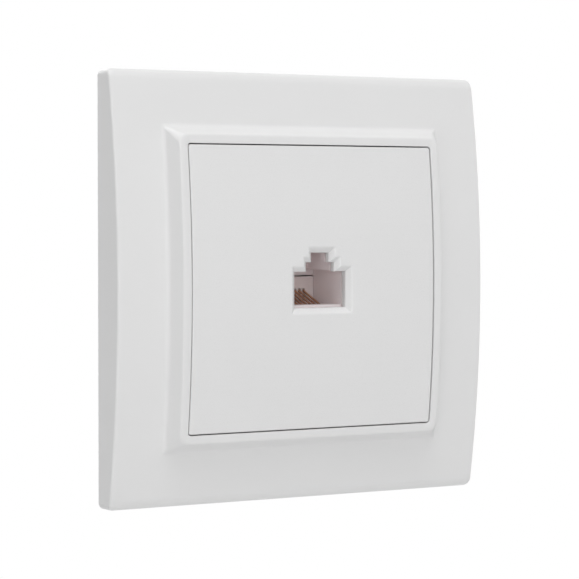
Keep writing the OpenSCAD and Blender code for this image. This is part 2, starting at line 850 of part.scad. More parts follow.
// A terminal: a blade with a fork that grips one core of the cable, and a pin for the board
module terminal(i) {
  half = blade_t / 2;
  right = [[pin_w / 2, board_bottom - tail_below], [pin_w / 2, board_top + blade_foot],
    [blade_w / 2, board_top + blade_foot], [blade_w / 2, blade_top - blade_shoulder], [blade_tip, blade_top],
    [fork_w / 2, blade_top - fork_throat], [fork_w / 2, fork_floor]];
  left = [for (k = [len(right) - 1:-1:0]) [-right[k][0], right[k][1]]];
  color("gold") translate([terminal_x(i), 0, 0]) along_y(blade_y - half, blade_y + half)
    polygon(concat(right, left));
}

// Cap that presses the cores into the terminals and snaps over the block's ends
module wire_cap() {
  under = block_top + cap_gap;
  arm_x = block_w / 2 + cap_side_gap;
  arm_z = notch_z + fit_gap;
  finger_w = channel_w - finger_gap;
  color("white") {
    box_between([-arm_x - cap_arm_t, block_front_y - cap_arm_t, under],
      [arm_x + cap_arm_t, block_back_y + cap_arm_t, under + cap_t]);
    for (i = [1:contact_count],
        y = [block_front_y + finger_inset, block_back_y - finger_inset - finger_l])
      box_between([terminal_x(i) - finger_w / 2, y, core_z],
        [terminal_x(i) + finger_w / 2, y + finger_l, under + sink]);
    for (s = [0, 1]) mirror([s, 0, 0]) {
      box_between([arm_x, block_front_y + cap_arm_inset, arm_z],
        [arm_x + cap_arm_t, block_back_y - cap_arm_inset, under + sink]);
      box_between([arm_x - cap_notch, block_front_y + cap_arm_inset, arm_z],
        [arm_x + sink, block_back_y - cap_arm_inset, arm_z + cap_catch_h]);
    }
  }
}

cover_frame();
centre_plate();
support_plate();
module_carrier();
carrier_screws();
jack_housing();
contact_carrier();
for (i = [1:contact_count])
  contact(i);
circuit_board();
terminal_block();
for (i = [1:contact_count])
  terminal(i);
wire_cap();
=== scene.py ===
# %% [markdown]
# # An ethernet wall socket, from the bare solids to a finished picture
# The socket is a white moulded frame with a raised rim, a white centre plate with one port,
# and the works behind them: a steel support plate, a carrier, a jack with its spring
# contacts, a small circuit board and a block of wire terminals. The solids already have
# their right shape and place. This lesson gives them their finishes, models again the
# pieces whose soft edges make the picture, and sets up the light and the camera.

# %% Load the solids as a fixed frame
import math

import bpy
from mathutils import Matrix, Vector


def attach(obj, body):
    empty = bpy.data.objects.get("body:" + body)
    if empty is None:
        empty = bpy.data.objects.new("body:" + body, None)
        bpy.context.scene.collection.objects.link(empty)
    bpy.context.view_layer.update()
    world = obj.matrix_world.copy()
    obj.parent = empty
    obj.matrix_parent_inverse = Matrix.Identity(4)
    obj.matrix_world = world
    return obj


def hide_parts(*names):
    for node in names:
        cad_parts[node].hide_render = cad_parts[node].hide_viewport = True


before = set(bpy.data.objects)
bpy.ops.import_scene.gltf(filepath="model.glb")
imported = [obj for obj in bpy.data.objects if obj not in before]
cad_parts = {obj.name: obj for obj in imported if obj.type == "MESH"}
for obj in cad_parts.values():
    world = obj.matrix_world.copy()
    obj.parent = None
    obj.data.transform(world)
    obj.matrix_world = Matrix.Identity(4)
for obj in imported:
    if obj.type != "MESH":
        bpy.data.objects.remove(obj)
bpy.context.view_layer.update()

MM = 0.001
print("solids:", len(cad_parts))

# %% [markdown]
# ## The camera
# A small product is photographed from about half a metre with a long lens, so that its
# level edges stay nearly parallel. The camera is turned about the socket by an azimuth and
# an elevation, and stands straight, with no roll and no shift.

# %% Place the camera
CAMERA_AZIMUTH = math.radians(-31.34)
CAMERA_ELEVATION = math.radians(1.95)
CAMERA_DISTANCE = 484.1 * MM
CAMERA_AIM = Vector((0.819, 0, -0.72)) * MM
LENS_MM = 150.6
SENSOR_MM = 36

towards_camera = Vector((
    math.sin(CAMERA_AZIMUTH) * math.cos(CAMERA_ELEVATION),
    -math.cos(CAMERA_AZIMUTH) * math.cos(CAMERA_ELEVATION),
    math.sin(CAMERA_ELEVATION),
))
lens = bpy.data.cameras.new("product_lens")
lens.lens = LENS_MM
lens.sensor_width = SENSOR_MM
lens.clip_start = 0.01
camera = bpy.data.objects.new("product_camera", lens)
camera.location = CAMERA_AIM + towards_camera * CAMERA_DISTANCE
camera.rotation_euler = (-towards_camera).to_track_quat("-Z", "Y").to_euler()
bpy.context.scene.collection.objects.link(camera)
bpy.context.scene.camera = camera
print("camera at", [round(c, 4) for c in camera.location])

# %% [markdown]
# ## Colours and nodes
# A colour picked from a screen is an sRGB value, but a shader works with linear light. One
# function turns a hex code to linear. A second one adds a shader node: its sockets are
# given by name, each with a plain value or with the (node, output) that feeds it. Four
# short ones build on it, for the noise, tint, gloss and bump that the finishes share.

# %% Helpers for materials
def to_linear(c):
    return c / 12.92 if c <= 0.04045 else ((c + 0.055) / 1.055) ** 2.4


def linear(code):
    return (*(to_linear(int(code[i:i + 2], 16) / 255) for i in (1, 3, 5)), 1)


def add_node(tree, kind, sockets=None, **settings):
    made = tree.nodes.new(kind)
    for name, value in settings.items():
        setattr(made, name, value)
    for name, value in (sockets or {}).items():
        if isinstance(value, tuple) and isinstance(value[0], bpy.types.Node):
            tree.links.new(value[0].outputs[value[1]], made.inputs[name])
        else:
            made.inputs[name].default_value = value
    return made


def new_material(name):
    material = bpy.data.materials.new(name)
    material.use_nodes = True
    material.node_tree.nodes.clear()
    return material, material.node_tree


def add_noise(tree, place, size_mm, detail):
    return add_node(tree, "ShaderNodeTexNoise",
                    {"Vector": place, "Scale": 1 / (size_mm * MM), "Detail": detail})


def add_tint(tree, factor, colour, shade):
    return add_node(tree, "ShaderNodeMix",
                    {"Factor": factor, "A": linear(colour), "B": linear(shade)},
                    data_type="RGBA")


def add_gloss(tree, noise, roughness, spread):
    return add_node(tree, "ShaderNodeMapRange",
                    {"Value": noise, "From Min": 0.3, "From Max": 0.7,
                     "To Min": roughness - spread, "To Max": roughness + spread})


def add_bump(tree, height, depth_mm, **below):
    return add_node(tree, "ShaderNodeBump",
                    {"Height": height, "Strength": 1.0, "Distance": depth_mm * MM, **below})


# %% [markdown]
# ## Moulded plastic
# A mould that is finished by spark erosion or fine blasting leaves a grain of a tenth of a
# millimetre on the plastic, and the melt leaves slow waves a few millimetres long. The grain
# breaks up the gloss, and the waves make a highlight wander. The colour is nearly even: the
# filler varies it by a shade over a centimetre or two.

# %% A recipe for moulded plastics
TINT_MM = 14
WAVE_MM, WAVE_DEPTH_MM = 6, 0.012
PLASTIC_GLOSS_SPREAD = 0.05
GLOW_COLOURS = (1.0, 0.85, 0.8)
GLOW_MM = 0.8


def moulded_plastic(name, colour, shade, roughness, grain_mm, grain_depth_mm, glow=0):
    material, tree = new_material(name)
    place = (add_node(tree, "ShaderNodeTexCoord"), "Object")
    slow = add_noise(tree, place, TINT_MM, 2.0)
    tint = add_tint(tree, (slow, "Fac"), colour, shade)
    grain = add_noise(tree, place, grain_mm, 3.0)
    wave = add_noise(tree, place, WAVE_MM, 1.0)
    gloss = add_gloss(tree, (grain, "Fac"), roughness, PLASTIC_GLOSS_SPREAD)
    waves = add_bump(tree, (wave, "Fac"), WAVE_DEPTH_MM)
    bump = add_bump(tree, (grain, "Fac"), grain_depth_mm, Normal=(waves, "Normal"))
    shader = add_node(tree, "ShaderNodeBsdfPrincipled",
                      {"Base Color": (tint, "Result"), "Roughness": (gloss, "Result"),
                       "Normal": (bump, "Normal"), "IOR": 1.5})
    if glow:
        shader.inputs["Subsurface Weight"].default_value = glow
        shader.inputs["Subsurface Radius"].default_value = GLOW_COLOURS
        shader.inputs["Subsurface Scale"].default_value = GLOW_MM * MM
    add_node(tree, "ShaderNodeOutputMaterial", {"Surface": (shader, "BSDF")})
    return material


# %% The plastics of this socket
# The frame is satin: a broad soft sheen, with a grain that shows only in that sheen.
cover_asa = moulded_plastic(
    "asa_moulded_satin_white", "#E6E6E6", "#E3E3E3", 0.34, 0.12, 0.0012)
# The plate comes from a finer mould, so it is a touch glossier beside the frame.
plate_asa = moulded_plastic(
    "asa_moulded_fine_white", "#E6E6E6", "#E3E3E3", 0.30, 0.10, 0.0008)
# The carrier is hidden, coarse and matt, a little yellower than the front.
carrier_pbt = moulded_plastic(
    "pbt_moulded_matt_grey_white", "#DADAD7", "#D5D5D2", 0.50, 0.18, 0.003)
# The jack and its insert let light in a little way, so the port glows warm and pinkish.
jack_pc = moulded_plastic(
    "polycarbonate_moulded_rose_white", "#F1E8E8", "#EBE1E2", 0.38, 0.15, 0.001, glow=0.3)
insert_pc = moulded_plastic(
    "polycarbonate_moulded_insert", "#EEE4E2", "#E6DAD9", 0.42, 0.15, 0.001, glow=0.3)
# The terminal block and its cap are plain white works: one matt, one smoother.
block_pbt = moulded_plastic("pbt_moulded_white", "#DCDCDA", "#D7D7D5", 0.45, 0.16, 0.002)
cap_pc = moulded_plastic(
    "polycarbonate_moulded_cap", "#DADADA", "#D3D3D3", 0.36, 0.14, 0.001)
print("plastics:", len(bpy.data.materials))

# %% [markdown]
# ## Metals
# The support plate is sheet steel, blanked and zinc plated: bright, a little blue, with the
# faint lines of the rolling mill and cloudy patches from the bath. The contacts are bronze
# wire plated with gold, and the terminals are bronze sheet plated with tin.

# %% A recipe for plated metals
METAL_GLOSS_SPREAD = 0.08
LINE_STRETCH = (1.0, 1.0, 0.04)


def plated_metal(name, colour, shade, roughness, cloud_mm, line_mm, depth_mm):
    material, tree = new_material(name)
    place = (add_node(tree, "ShaderNodeTexCoord"), "Object")
    clouds = add_noise(tree, place, cloud_mm, 4.0)
    tint = add_tint(tree, (clouds, "Fac"), colour, shade)
    stretch = add_node(tree, "ShaderNodeMapping", {"Vector": place, "Scale": LINE_STRETCH})
    lines = add_noise(tree, (stretch, "Vector"), line_mm, 2.0)
    gloss = add_gloss(tree, (clouds, "Fac"), roughness, METAL_GLOSS_SPREAD)
    bump = add_bump(tree, (lines, "Fac"), depth_mm)
    shader = add_node(tree, "ShaderNodeBsdfPrincipled",
                      {"Base Color": (tint, "Result"), "Roughness": (gloss, "Result"),
                       "Normal": (bump, "Normal"), "Metallic": 1.0})
    add_node(tree, "ShaderNodeOutputMaterial", {"Surface": (shader, "BSDF")})
    return material


# %% The metals of this socket
# The support plate is a cool grey with cloudy patches and long faint lines.
support_zinc = plated_metal(
    "steel_sheet_zinc_plated", "#BEC2C5", "#ABB0B4", 0.36, 4, 0.25, 0.002)
# The screws are plated in a barrel, brighter than the sheet, with smaller clouds.
screw_zinc = plated_metal(
    "steel_screw_zinc_plated", "#C9CBCB", "#B4B8BA", 0.30, 2, 0.15, 0.001)
# The contacts are the one warm colour in the port: thin gold over drawn bronze.
contact_gold = plated_metal(
    "bronze_wire_gold_plated", "#DDB69B", "#C79C7F", 0.32, 1.5, 0.08, 0.0005)
# The terminals are dull tin through which the bronze gives a little yellow.
terminal_tin = plated_metal(
    "bronze_sheet_tin_plated", "#D5CDB4", "#C4BA9C", 0.32, 1.5, 0.1, 0.0008)

# %% [markdown]
# ## Circuit board
# The board is glass laminate with copper tracks under a green solder mask. Where a track
# runs, the mask is lifted a little and looks lighter. The tracks run from the jack to the
# terminals, one for each core, so the stripes have the terminals' pitch.

# %% The board's laminate
TRACK_EDGE_MM = 0.04
COPPER_MM = 0.035


def board_laminate(name, colour, track_colour, pitch_mm, track_mm):
    material, tree = new_material(name)
    place = add_node(tree, "ShaderNodeTexCoord")
    axes = add_node(tree, "ShaderNodeSeparateXYZ", {"Vector": (place, "Object")})
    cells = add_node(tree, "ShaderNodeMath", {0: (axes, "X"), 1: pitch_mm * MM, 2: 0},
                     operation="WRAP")
    off = add_node(tree, "ShaderNodeMath", {0: (cells, "Value"), 1: pitch_mm * MM / 2},
                   operation="SUBTRACT")
    side = add_node(tree, "ShaderNodeMath", {0: (off, "Value")}, operation="ABSOLUTE")
    track = add_node(tree, "ShaderNodeMapRange",
                     {"Value": (side, "Value"), "To Min": 1.0, "To Max": 0.0,
                      "From Min": (track_mm / 2 - TRACK_EDGE_MM) * MM,
                      "From Max": (track_mm / 2 + TRACK_EDGE_MM) * MM})
    tint = add_tint(tree, (track, "Result"), colour, track_colour)
    bump = add_bump(tree, (track, "Result"), COPPER_MM)
    shader = add_node(tree, "ShaderNodeBsdfPrincipled",
                      {"Base Color": (tint, "Result"), "Normal": (bump, "Normal"),
                       "Roughness": 0.28, "Coat Weight": 0.4, "Coat Roughness": 0.15})
    add_node(tree, "ShaderNodeOutputMaterial", {"Surface": (shader, "BSDF")})
    return material


TRACK_PITCH_MM, TRACK_MM = 4, 0.7
# The board is dark glossy green with paler green tracks standing up a little.
board_green = board_laminate(
    "glass_laminate_solder_mask_green", "#14532F", "#2B7446", TRACK_PITCH_MM, TRACK_MM)

# %% [markdown]
# ## Which solid gets which finish
# The solids' meshes stay as they are. A finish goes into the material slot of each object.

# %% Dress the solids
FINISHES = {
    "cover_frame": cover_asa, "centre_plate": plate_asa, "support_plate": support_zinc,
    "module_carrier": carrier_pbt, "carrier_screws": screw_zinc, "jack_housing": jack_pc,
    "contact_carrier": insert_pc, "circuit_board": board_green, "terminal_block": block_pbt,
    "wire_cap": cap_pc,
}
for i in range(1, 9):
    FINISHES[f"contact_{i}"] = contact_gold
    FINISHES[f"terminal_{i}"] = terminal_tin
for name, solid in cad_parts.items():
    solid.data.materials.clear()
    solid.data.materials.append(FINISHES[name])
print("finished solids:", len(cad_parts))

# %% [markdown]
# ## Working in edit mode
# The white mouldings are what the picture is about, and their soft edges need faces that
# run with the shape, so they are modelled again. The steps are those of modelling by hand:
# add a primitive, pick faces or edges by their place, then inset, extrude, bevel or bridge.
# These helpers start a piece, pick by a test on each centre in millimetres, and finish it.

# %% Helpers for modelling
import bmesh

NEAR = 0.01
MERGE_WITHIN = 0.0005 * MM
SLICE_TOLERANCE = 1e-7


def start_piece(name, add_primitive, **place):
    bpy.ops.object.select_all(action="DESELECT")
    add_primitive(**place)
    piece = bpy.context.active_object
    piece.name = name
    bpy.ops.object.transform_apply(location=True, rotation=True, scale=True)
    bpy.ops.object.mode_set(mode="EDIT")
    return piece


def pick(piece, kind, test):
    bpy.context.tool_settings.mesh_select_mode = [kind == k for k in ("verts", "edges", "faces")]
    bpy.ops.mesh.select_all(action="DESELECT")
    mesh = bmesh.from_edit_mesh(piece.data)
    count = 0
    for part in getattr(mesh, kind):
        if kind == "verts":
            centre = part.co
        else:
            centre = sum((v.co for v in part.verts), Vector()) / len(part.verts)
        if test(centre / MM):
            part.select_set(True)
            count += 1
    mesh.select_flush_mode()
    bmesh.update_edit_mesh(piece.data)
    return count


def slice_levels(piece, levels, axis=2):
    for level in levels:
        bpy.ops.mesh.select_all(action="SELECT")
        place, normal = Vector((0, 0, 0)), Vector((0, 0, 0))
        place[axis], normal[axis] = level * MM, 1
        bpy.ops.mesh.bisect(plane_co=place, plane_no=normal, threshold=SLICE_TOLERANCE)


def close_piece():
    bpy.ops.mesh.select_all(action="SELECT")
    bpy.ops.mesh.normals_make_consistent(inside=False)
    bpy.ops.object.mode_set(mode="OBJECT")


def finish_piece(piece, material, slot, *replaced, smooth_deg=30):
    bpy.ops.object.select_all(action="DESELECT")
    piece.select_set(True)
    bpy.context.view_layer.objects.active = piece
    bpy.ops.object.mode_set(mode="EDIT")
    bpy.ops.mesh.select_all(action="SELECT")
    bpy.ops.mesh.remove_doubles(threshold=MERGE_WITHIN)
    close_piece()
    bpy.ops.object.shade_smooth_by_angle(angle=math.radians(smooth_deg))
    weighted = piece.modifiers.new("flat_faces_stay_flat", "WEIGHTED_NORMAL")
    weighted.keep_sharp = True
    bpy.ops.object.modifier_apply(modifier=weighted.name)
    piece.data.materials.clear()
    piece.data.materials.append(material)
    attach(piece, "root")
    if replaced:
        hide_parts(*replaced)
    spans = [(min(c), max(c)) for c in zip(*(v.co for v in piece.data.vertices))]
    print(piece.name, len(piece.data.polygons), "faces, box in mm:",
          [[round(end / MM, 2) for end in span] for span in spans])


# %% [markdown]
# ## The cover frame
# The frame is one moulding with an even wall. Seen from the front it is a stack of square
# outlines with rounded corners: the outer wall, the foot of the rim, the rim's edge and the
# opening, and the same again inside. So it is lofted: each outline is a plane whose four
# corners are bevelled, and each is bridged to the next. The rim's foot is nearly sharp in
# its corners and its edge is round, which gives the soft mitre that runs out to a point.

# %% The frame's sizes, in millimetres
FRAME_HALF = 42
FRAME_CORNER = 1.2
FACE_RADIUS = 237.075
FACE_FRONT = -8.35
FRAME_WALL = 2
OPENING_HALF = 27.92
OPENING_CORNER = 0.7
RIM_EDGE_HALF = 29.65
RIM_FOOT_HALF = 31.2
RIM_RISE = 3.4
RIM_FOOT_CORNER, RIM_EDGE_CORNER = 0.3, 2.1
SKIRT_OUT_HALF = 29.4
SKIRT_CORNER = 2.4
SKIRT_END = -4.4
# The skirt narrows to its end, so that no line of sight passes it to the room behind.
SKIRT_DRAFT = 0.1
BACK_CORNER = 1
CORNER_STEPS = 8
# Two outlines of one flat face lie this far apart, as a bridge needs some depth.
DRAFT = 0.02
# For each outline whose edge is rounded: its number, the width of the round and its steps.
FRAME_ROUNDS = [(1, 0.6, 5), (2, 0.77, 6), (3, 0.34, 4), (4, 0.15, 2), (0, 0.2, 2), (5, 0.2, 2)]


def sagitta(z):
    return FACE_RADIUS - math.sqrt(FACE_RADIUS ** 2 - z ** 2)


# %% Loft the frame through its outlines
def spot(point):
    return tuple(round(c, 3) for c in point)


def add_outline(half, radius, depth):
    bpy.ops.mesh.primitive_plane_add(
        size=2 * half * MM, rotation=(math.pi / 2, 0, 0), location=(0, depth * MM, 0))
    bpy.context.tool_settings.mesh_select_mode = (True, False, False)
    bpy.ops.mesh.bevel(
        affect="VERTICES", offset=radius * MM, offset_type="OFFSET", segments=CORNER_STEPS)
    mesh = bmesh.from_edit_mesh(bpy.context.object.data)
    points = {spot(v.co / MM) for v in mesh.verts if v.select}
    bpy.ops.mesh.delete(type="ONLY_FACE")
    return points


def loft(piece, outlines, closed=True):
    rings = [add_outline(*outline) for outline in outlines]
    pairs = list(zip(rings, rings[1:] + rings[:1]))
    for near, far in pairs if closed else pairs[:-1]:
        both = near | far
        pick(piece, "verts", lambda c: spot(c) in both)
        bpy.ops.mesh.bridge_edge_loops()
    return rings


def soften(piece, ring, width, steps):
    count = pick(piece, "verts", lambda c: spot(c) in ring)
    bpy.ops.mesh.bevel(
        affect="EDGES", offset=width * MM, segments=steps, profile=0.5, clamp_overlap=False)
    print("rounded by", width, "mm at", count, "points")


frame_piece = start_piece("cover_frame_moulding", bpy.ops.mesh.primitive_plane_add, size=MM)
bpy.ops.mesh.delete(type="VERT")
frame_rings = loft(frame_piece, [
    (FRAME_HALF, FRAME_CORNER, 0),
    (FRAME_HALF, FRAME_CORNER, FACE_FRONT),
    (RIM_FOOT_HALF, RIM_FOOT_CORNER, FACE_FRONT - DRAFT),
    (RIM_EDGE_HALF, RIM_EDGE_CORNER, FACE_FRONT - RIM_RISE),
    (OPENING_HALF, OPENING_CORNER, FACE_FRONT - RIM_RISE + DRAFT),
    (OPENING_HALF - SKIRT_DRAFT, OPENING_CORNER, SKIRT_END),
    (SKIRT_OUT_HALF, SKIRT_CORNER, SKIRT_END - DRAFT),
    (SKIRT_OUT_HALF, SKIRT_CORNER, FACE_FRONT + FRAME_WALL),
    (FRAME_HALF - FRAME_WALL, BACK_CORNER, FACE_FRONT + FRAME_WALL + DRAFT),
    (FRAME_HALF - FRAME_WALL, BACK_CORNER, -DRAFT),
])
for number, width, steps in FRAME_ROUNDS:
    soften(frame_piece, frame_rings[number], width, steps)
print("outlines:", len(frame_rings))

# %% [markdown]
# ## The bulge
# The face is a shallow arc about a level axis far behind the wall, so each level of the
# moulding slides back by the arc's sagitta at its height. The long faces are sliced into
# levels first, as an arc needs points to follow. Over the last two millimetres at the top
# and the bottom the face rolls off a little more, which is where the real one turns dark.

# %% Bend the frame's face
LEVEL_STEP = 3
ROLL_START = 40
ROLL_LEVELS = (40, 40.4, 40.8, 41.2)
ROLL_RADIUS = 3.4
SLIDE_FROM = -4.5


def face_sag(z):
    past = max(abs(z) - ROLL_START, 0)
    return sagitta(z) + ROLL_RADIUS - math.sqrt(ROLL_RADIUS ** 2 - past ** 2)


def bend_face(piece, sag, front_of):
    mesh = bmesh.from_edit_mesh(piece.data)
    moved = 0
    for point in mesh.verts:
        if point.co.y < front_of * MM:
            point.co.y += sag(point.co.z / MM) * MM
            moved += 1
    bmesh.update_edit_mesh(piece.data)
    return moved


levels = [LEVEL_STEP * k for k in range(-13, 14)]
levels += [side * z for side in (-1, 1) for z in ROLL_LEVELS]
slice_levels(frame_piece, levels)
print("points on the arc:", bend_face(frame_piece, face_sag, SLIDE_FROM))
bpy.ops.object.mode_set(mode="OBJECT")

# %% [markdown]
# ### Hooks and ribs behind the face
# A frame of this kind snaps onto its support plate with hooks and is stiffened by ribs. The
# front hides them, so their number here, four hooks and eight ribs, is a choice. A hook is
# a short bar whose end is pulled sideways into a barb. A rib is a bar that grows a tall end
# past the edge of the support plate. One of each is made, and copies are turned or mirrored
# into place. A boolean modifier then joins them with the moulding, so that the piece is one
# closed skin.

# %% A snap hook
HOOK_WIDTH = 5
HOOK_THICK = 1.1
HOOK_BARB = 0.75
HOOK_LEAD = 0.9
# A shape that is joined to a moulding starts this far inside it.
OVERLAP = 0.3


def move(x=0, y=0, z=0):
    bpy.ops.transform.translate(value=Vector((x, y, z)) * MM)


def extrude(x=0, y=0, z=0):
    bpy.ops.mesh.extrude_region_move(
        TRANSFORM_OT_translate={"value": (x * MM, y * MM, z * MM)})


def four_ways():
    bpy.ops.mesh.select_all(action="SELECT")
    for axis, turned in (("X", (-1, 1, 1)), ("Z", (1, 1, -1))):
        bpy.ops.mesh.duplicate()
        bpy.ops.transform.resize(value=turned, center_override=(0, 0, 0))
        bpy.ops.mesh.select_all(action="SELECT")


def snap_hooks(name, x, z, start, catch):
    tip = catch + HOOK_LEAD
    hooks = start_piece(
        name, bpy.ops.mesh.primitive_cube_add, size=MM,
        scale=(HOOK_THICK, tip - start, HOOK_WIDTH),
        location=Vector((x + HOOK_THICK / 2, (start + tip) / 2, z)) * MM)
    slice_levels(hooks, [catch], axis=1)
    outer = x + HOOK_THICK
    pick(hooks, "faces", lambda c: abs(c.x - outer) < NEAR and c.y > catch)
    extrude(x=HOOK_BARB)
    pick(hooks, "verts", lambda c: c.x > outer + HOOK_BARB / 2 and c.y > tip - NEAR)
    move(x=-HOOK_BARB)
    bpy.ops.mesh.select_all(action="SELECT")
    bpy.ops.mesh.remove_doubles(threshold=MERGE_WITHIN)
    four_ways()
    close_piece()
    return hooks


def join_shape(piece, tool, operation):
    change = piece.modifiers.new(f"{operation.lower()}_{tool.name}", "BOOLEAN")
    change.operation = operation
    change.solver = "EXACT"
    change.object = tool
    bpy.context.view_layer.objects.active = piece
    bpy.ops.object.modifier_apply(modifier=change.name)
    bpy.data.objects.remove(tool)
    print(piece.name, operation.lower(), len(piece.data.polygons), "faces")


# %% The frame's ribs
RIB_THICK = 1
RIB_OFFSET = 12
RIB_FRONT = FACE_FRONT + FRAME_WALL - OVERLAP
RIB_IN, RIB_OUT = 29.1, 40.3
RIB_LOW, RIB_TALL = -3.8, -1
PAST_SUPPORT = 36.1
RIB_LEVELS = [32.6, PAST_SUPPORT, 38.2]

ribs = start_piece(
    "frame_ribs", bpy.ops.mesh.primitive_cube_add, size=MM,
    scale=(RIB_THICK, RIB_LOW - RIB_FRONT, RIB_OUT - RIB_IN),
    location=Vector((RIB_OFFSET, (RIB_LOW + RIB_FRONT) / 2, (RIB_IN + RIB_OUT) / 2)) * MM)
slice_levels(ribs, RIB_LEVELS)
pick(ribs, "faces", lambda c: c.y > RIB_LOW - NEAR and c.z > PAST_SUPPORT)
extrude(y=RIB_TALL - RIB_LOW)
bpy.ops.mesh.select_all(action="SELECT")
bpy.ops.mesh.duplicate()
move(x=-2 * RIB_OFFSET)
bpy.ops.mesh.select_all(action="SELECT")
for turn in range(2):
    bpy.ops.mesh.duplicate()
    bpy.ops.transform.rotate(
        value=math.pi / (2 - turn), orient_axis="Y", center_override=(0, 0, 0))
    bpy.ops.mesh.select_all(action="SELECT")
bend_face(ribs, sagitta, RIB_FRONT + NEAR)
close_piece()
print("ribs:", len(ribs.data.polygons), "faces")

# %% Join them with the frame, and clear the skirt over the box screws
BOX_SCREW_X = 30
SCREW_ROOM_RADIUS = 4.1
SCREW_ROOM_DEPTH = 4
SCREW_ROOM_MIDDLE = FACE_FRONT + FRAME_WALL + 2.5
ROUND_SIDES = 48
FRAME_HOOK_X, FRAME_HOOK_Z = 28.3, 15
FRAME_CATCH = -1.8

screw_room = start_piece(
    "screw_room", bpy.ops.mesh.primitive_cylinder_add, vertices=ROUND_SIDES,
    radius=SCREW_ROOM_RADIUS * MM, depth=SCREW_ROOM_DEPTH * MM, rotation=(math.pi / 2, 0, 0),
    location=Vector((BOX_SCREW_X, SCREW_ROOM_MIDDLE, 0)) * MM)
bpy.ops.mesh.select_all(action="SELECT")
bpy.ops.mesh.duplicate()
move(x=-2 * BOX_SCREW_X)
bpy.ops.object.mode_set(mode="OBJECT")
join_shape(frame_piece, screw_room, "DIFFERENCE")
join_shape(frame_piece, ribs, "UNION")
frame_hooks = snap_hooks(
    "frame_hooks", FRAME_HOOK_X, FRAME_HOOK_Z, SKIRT_END - OVERLAP, FRAME_CATCH)
join_shape(frame_piece, frame_hooks, "UNION")
finish_piece(frame_piece, cover_asa, "frame_plastic", "cover_frame")

# %% [markdown]
# ## The centre plate
# The plate is a shallow dish turned face down, seated in the frame's opening with a gap of
# 0.2 mm all round. It bulges with the frame. The port is cut with a cutter of its own: a
# stepped outline, wide for the plug, narrower for its shoulder and narrowest for its latch,
# inset at 45 degrees so that the port gets the bevel that guides a plug in.

# %% The plate's sizes, in millimetres
PLATE_HALF = 27.7
PLATE_CORNER = 0.45
PLATE_FRONT = -11.65
PLATE_WALL = 2
PLATE_SKIRT_END = -6.4
PLATE_INNER_HALF = 26.3
PLATE_INNER_CORNER = 0.5
PORT_X = 1.35
# The port's outline, from its floor up: half the width, and the height where it steps in.
PORT_STEPS = [(5.85, 3.1), (3.2, 4.95), (2, 6.8)]
PORT_FLOOR = -4
PORT_BEVEL = 1.05
CUTTER_OVER = 0.5
CUTTER_DEPTH = 5

# %% The dish
plate_piece = start_piece("centre_plate_moulding", bpy.ops.mesh.primitive_plane_add, size=MM)
bpy.ops.mesh.delete(type="VERT")
plate_rings = loft(plate_piece, [
    (PLATE_INNER_HALF, PLATE_INNER_CORNER, PLATE_FRONT + PLATE_WALL),
    (PLATE_INNER_HALF, PLATE_INNER_CORNER, PLATE_SKIRT_END - DRAFT),
    (PLATE_HALF, PLATE_CORNER, PLATE_SKIRT_END),
    (PLATE_HALF, PLATE_CORNER, PLATE_FRONT),
], closed=False)
for ring in (plate_rings[0], plate_rings[3]):
    pick(plate_piece, "verts", lambda c: spot(c) in ring)
    bpy.ops.mesh.edge_face_add()
soften(plate_piece, plate_rings[3], 0.22, 4)
soften(plate_piece, plate_rings[2], 0.15, 2)
close_piece()
print("dish:", len(plate_piece.data.polygons), "faces")

# %% The port's cutter
grown = PORT_BEVEL + CUTTER_OVER
port_half, port_z = PORT_STEPS[0]
cutter = start_piece(
    "port_cutter", bpy.ops.mesh.primitive_plane_add, size=MM, rotation=(math.pi / 2, 0, 0),
    location=Vector((PORT_X, PLATE_FRONT - CUTTER_OVER, (PORT_FLOOR + port_z) / 2)) * MM)
bpy.ops.transform.resize(value=(2 * (port_half + grown), 1, port_z - PORT_FLOOR + 2 * grown))
narrower = [half for half, top in PORT_STEPS[1:]]
slice_levels(cutter, [PORT_X + s * (half + grown) for s in (-1, 1) for half in narrower], axis=0)
for (wider, lower_top), (half, top) in zip(PORT_STEPS, PORT_STEPS[1:]):
    pick(cutter, "edges", lambda c: (c.z > lower_top + grown - NEAR
                                     and abs(c.x - PORT_X) < half + grown - NEAR))
    extrude(z=top - lower_top)
bpy.ops.mesh.select_all(action="SELECT")
bpy.ops.mesh.remove_doubles(threshold=MERGE_WITHIN)
bpy.ops.mesh.dissolve_limited(angle_limit=math.radians(1))
pick(cutter, "faces", lambda c: True)
bpy.ops.mesh.inset(thickness=grown * MM, use_even_offset=True)
move(y=grown)
extrude(y=CUTTER_DEPTH)
pick(cutter, "verts", lambda c: c.y < PLATE_FRONT)
bpy.ops.mesh.edge_face_add()
close_piece()
join_shape(plate_piece, cutter, "DIFFERENCE")

# %% Soften the port's edges and bend the plate
PORT_REACH = 11
OUTER_LIP, INNER_LIP = 0.32, 0.14
LIP_STEPS = 4
# The plate's levels are shifted, so that none of them runs along an edge of the port.
LEVEL_SHIFT = 1.2
PLATE_SLIDE_FROM = -8.5


def pick_port_edges(piece, depth):
    bpy.context.tool_settings.mesh_select_mode = (False, True, False)
    bpy.ops.mesh.select_all(action="DESELECT")
    mesh = bmesh.from_edit_mesh(piece.data)
    count = 0
    for edge in mesh.edges:
        ends = [v.co / MM for v in edge.verts]
        if all(abs(e.y - depth) < NEAR and Vector((e.x - PORT_X, e.z)).length < PORT_REACH
               for e in ends):
            edge.select_set(True)
            count += 1
    bmesh.update_edit_mesh(piece.data)
    return count


